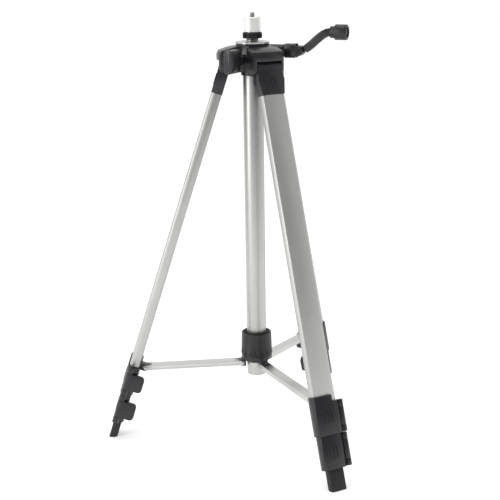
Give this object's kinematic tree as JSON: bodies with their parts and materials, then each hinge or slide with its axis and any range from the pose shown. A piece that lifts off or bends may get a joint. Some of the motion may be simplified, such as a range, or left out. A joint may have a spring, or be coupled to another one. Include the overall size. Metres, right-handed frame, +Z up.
{
  "type": "laser level tripod",
  "caption": "Three-legged stand with a geared centre column, folding crank, sliding spreader, flip-lock telescoping legs and a studded adapter on top.",
  "frame": {"origin": "on the floor, under the middle of the tripod's box; the column stands 40.5 mm along +X from it", "axes": "+Z up along the column; -X towards the left leg; -Y towards the viewer's side, where the front leg stands"},
  "size_m": [0.3146, 0.3514, 0.5504],
  "materials": {
    "anodised_tube": "satin clear anodised, drawn lengthwise",
    "strut_channel": "plain satin channel",
    "plated_steel": "zinc plated",
    "bright_steel": "bright turned",
    "pale_alloy": "near-white satin, turned",
    "foot_rubber": "matt",
    "black_moulding": "fine moulded texture with a low sheen"
  },
  "bodies": {
    "frame": {"head_body": "black_moulding", "column_collar": "black_moulding", "column_tube": "anodised_tube", "leg_pin_1": "plated_steel", "leg_pin_2": "plated_steel", "leg_pin_3": "plated_steel"},
    "elevator": {"elevating_tube": "anodised_tube", "gear_rack": "plated_steel", "platform_disc": "bright_steel", "threaded_post": "bright_steel", "laser_adapter": "pale_alloy", "adapter_stud": "plated_steel"},
    "lock_ring": {"lock_ring": "black_moulding"},
    "crank_spindle": {"crank_shaft": "plated_steel", "crank_hub": "black_moulding", "crank_pin": "plated_steel"},
    "crank_arm": {"crank_arm": "black_moulding", "crank_knob_screw": "plated_steel"},
    "crank_knob": {"crank_knob": "black_moulding"},
    "column_lock": {"column_lock_knob": "black_moulding"},
    "spreader": {"spreader_hub": "black_moulding", "hub_pin_1": "plated_steel", "hub_pin_2": "plated_steel", "hub_pin_3": "plated_steel"},
    "grip_collar": {"spreader_collar": "black_moulding"},
    "strut_1": {"strut_1": "strut_channel"},
    "leg_1": {"leg_yoke_1": "black_moulding", "upper_tube_1": "anodised_tube", "upper_lock_1": "black_moulding", "strut_pin_1": "plated_steel"},
    "middle_1": {"middle_tube_1": "anodised_tube", "lower_lock_1": "black_moulding"},
    "lower_1": {"lower_tube_1": "anodised_tube", "foot_1": "foot_rubber"},
    "upper_lever_1": {"upper_lever_1": "black_moulding"},
    "lower_lever_1": {"lower_lever_1": "black_moulding"},
    "strut_2": {"strut_2": "strut_channel"},
    "leg_2": {"leg_yoke_2": "black_moulding", "upper_tube_2": "anodised_tube", "upper_lock_2": "black_moulding", "strut_pin_2": "plated_steel"},
    "middle_2": {"middle_tube_2": "anodised_tube", "lower_lock_2": "black_moulding"},
    "lower_2": {"lower_tube_2": "anodised_tube", "foot_2": "foot_rubber"},
    "upper_lever_2": {"upper_lever_2": "black_moulding"},
    "lower_lever_2": {"lower_lever_2": "black_moulding"},
    "strut_3": {"strut_3": "strut_channel"},
    "leg_3": {"leg_yoke_3": "black_moulding", "upper_tube_3": "anodised_tube", "upper_lock_3": "black_moulding", "strut_pin_3": "plated_steel"},
    "middle_3": {"middle_tube_3": "anodised_tube", "lower_lock_3": "black_moulding"},
    "lower_3": {"lower_tube_3": "anodised_tube", "foot_3": "foot_rubber"},
    "upper_lever_3": {"upper_lever_3": "black_moulding"},
    "lower_lever_3": {"lower_lever_3": "black_moulding"}
  },
  "joints": [
    {"name": "elevator_slide", "type": "slide", "parent": "frame", "child": "elevator", "axis": [0, 0, 1], "range_m": [0, 0.25]},
    {"name": "crank_turn", "type": "hinge", "parent": "frame", "child": "crank_spindle", "pos_m": [0.04538, 0.0132, 0.504], "axis": [-0.9397, 0.342, 0], "range_deg": [0, 3582]},
    {"name": "crank_fold", "type": "hinge", "parent": "crank_spindle", "child": "crank_arm", "pos_m": [0.09782, -0.00588, 0.504], "axis": [0.342, 0.9397, 0], "range_deg": [0, 100]},
    {"name": "crank_knob_spin", "type": "hinge", "parent": "crank_arm", "child": "crank_knob", "pos_m": [0.09782, -0.00588, 0.527], "axis": [0.9397, -0.342, 0], "continuous": true},
    {"name": "column_lock_turn", "type": "hinge", "parent": "frame", "child": "column_lock", "pos_m": [0.04049, -0.00024, 0.4955], "axis": [-0.5, -0.866, 0], "continuous": true},
    {"name": "lock_ring_turn", "type": "hinge", "parent": "elevator", "child": "lock_ring", "pos_m": [0.04049, -0.00024, 0], "axis": [0, 0, 1], "continuous": true},
    {"name": "spreader_slide", "type": "slide", "parent": "frame", "child": "spreader", "axis": [0, 0, 1], "range_m": [0, 0.10589]},
    {"name": "grip_collar_turn", "type": "hinge", "parent": "spreader", "child": "grip_collar", "pos_m": [0.04049, -0.00024, 0], "axis": [0, 0, 1], "continuous": true},
    {"name": "strut_1_swing", "type": "hinge", "parent": "spreader", "child": "strut_1", "pos_m": [0.02099, -0.00024, 0.101], "axis": [0, -1, 0], "range_deg": [0, 87]},
    {"name": "leg_1_tilt", "type": "hinge", "parent": "strut_1", "child": "leg_1", "pos_m": [-0.10647, -0.00024, 0.09502], "axis": [0, -1, 0], "range_deg": [-69, 0]},
    {"name": "middle_1_slide", "type": "slide", "parent": "leg_1", "child": "middle_1", "axis": [-0.309, 0, -0.9511], "range_m": [0, 0.31]},
    {"name": "lower_1_slide", "type": "slide", "parent": "middle_1", "child": "lower_1", "axis": [-0.309, 0, -0.9511], "range_m": [0, 0.31]},
    {"name": "upper_lever_1_flip", "type": "hinge", "parent": "leg_1", "child": "upper_lever_1", "pos_m": [0.00364, -0.02074, 0.48793], "axis": [-0.309, 0, -0.9511], "range_deg": [0, 100]},
    {"name": "lower_lever_1_flip", "type": "hinge", "parent": "middle_1", "child": "lower_lever_1", "pos_m": [0.00364, -0.01929, 0.48793], "axis": [-0.309, 0, -0.9511], "range_deg": [0, 100]},
    {"name": "strut_2_swing", "type": "hinge", "parent": "spreader", "child": "strut_2", "pos_m": [0.05024, -0.01712, 0.101], "axis": [0.866, 0.5, 0], "range_deg": [0, 87]},
    {"name": "leg_2_tilt", "type": "hinge", "parent": "strut_2", "child": "leg_2", "pos_m": [0.11397, -0.12751, 0.09502], "axis": [0.866, 0.5, 0], "range_deg": [-69, 0]},
    {"name": "middle_2_slide", "type": "slide", "parent": "leg_2", "child": "middle_2", "axis": [0.1545, -0.2676, -0.9511], "range_m": [0, 0.31]},
    {"name": "lower_2_slide", "type": "slide", "parent": "middle_2", "child": "lower_2", "axis": [0.1545, -0.2676, -0.9511], "range_m": [0, 0.31]},
    {"name": "upper_lever_2_flip", "type": "hinge", "parent": "leg_2", "child": "upper_lever_2", "pos_m": [0.07667, -0.0219, 0.48793], "axis": [0.1545, -0.2676, -0.9511], "range_deg": [0, 100]},
    {"name": "lower_lever_2_flip", "type": "hinge", "parent": "middle_2", "child": "lower_lever_2", "pos_m": [0.07541, -0.02263, 0.48793], "axis": [0.1545, -0.2676, -0.9511], "range_deg": [0, 100]},
    {"name": "strut_3_swing", "type": "hinge", "parent": "spreader", "child": "strut_3", "pos_m": [0.05024, 0.01665, 0.101], "axis": [-0.866, 0.5, 0], "range_deg": [0, 87]},
    {"name": "leg_3_tilt", "type": "hinge", "parent": "strut_3", "child": "leg_3", "pos_m": [0.11397, 0.12703, 0.09502], "axis": [-0.866, 0.5, 0], "range_deg": [-69, 0]},
    {"name": "middle_3_slide", "type": "slide", "parent": "leg_3", "child": "middle_3", "axis": [0.1545, 0.2676, -0.9511], "range_m": [0, 0.31]},
    {"name": "lower_3_slide", "type": "slide", "parent": "middle_3", "child": "lower_3", "axis": [0.1545, 0.2676, -0.9511], "range_m": [0, 0.31]},
    {"name": "upper_lever_3_flip", "type": "hinge", "parent": "leg_3", "child": "upper_lever_3", "pos_m": [0.04116, 0.04193, 0.48793], "axis": [0.1545, 0.2676, -0.9511], "range_deg": [0, 100]},
    {"name": "lower_lever_3_flip", "type": "hinge", "parent": "middle_3", "child": "lower_lever_3", "pos_m": [0.04242, 0.0412, 0.48793], "axis": [0.1545, 0.2676, -0.9511], "range_deg": [0, 100]}
  ],
  "couplings": [
    {"joint": "crank_turn", "follows": "elevator_slide", "rad_per_m": 250},
    {"joint": "strut_1_swing", "follows": "spreader_slide", "rad_per_m": 14.332},
    {"joint": "leg_1_tilt", "follows": "spreader_slide", "rad_per_m": -11.365},
    {"joint": "strut_2_swing", "follows": "spreader_slide", "rad_per_m": 14.332},
    {"joint": "leg_2_tilt", "follows": "spreader_slide", "rad_per_m": -11.365},
    {"joint": "strut_3_swing", "follows": "spreader_slide", "rad_per_m": 14.332},
    {"joint": "leg_3_tilt", "follows": "spreader_slide", "rad_per_m": -11.365}
  ]
}
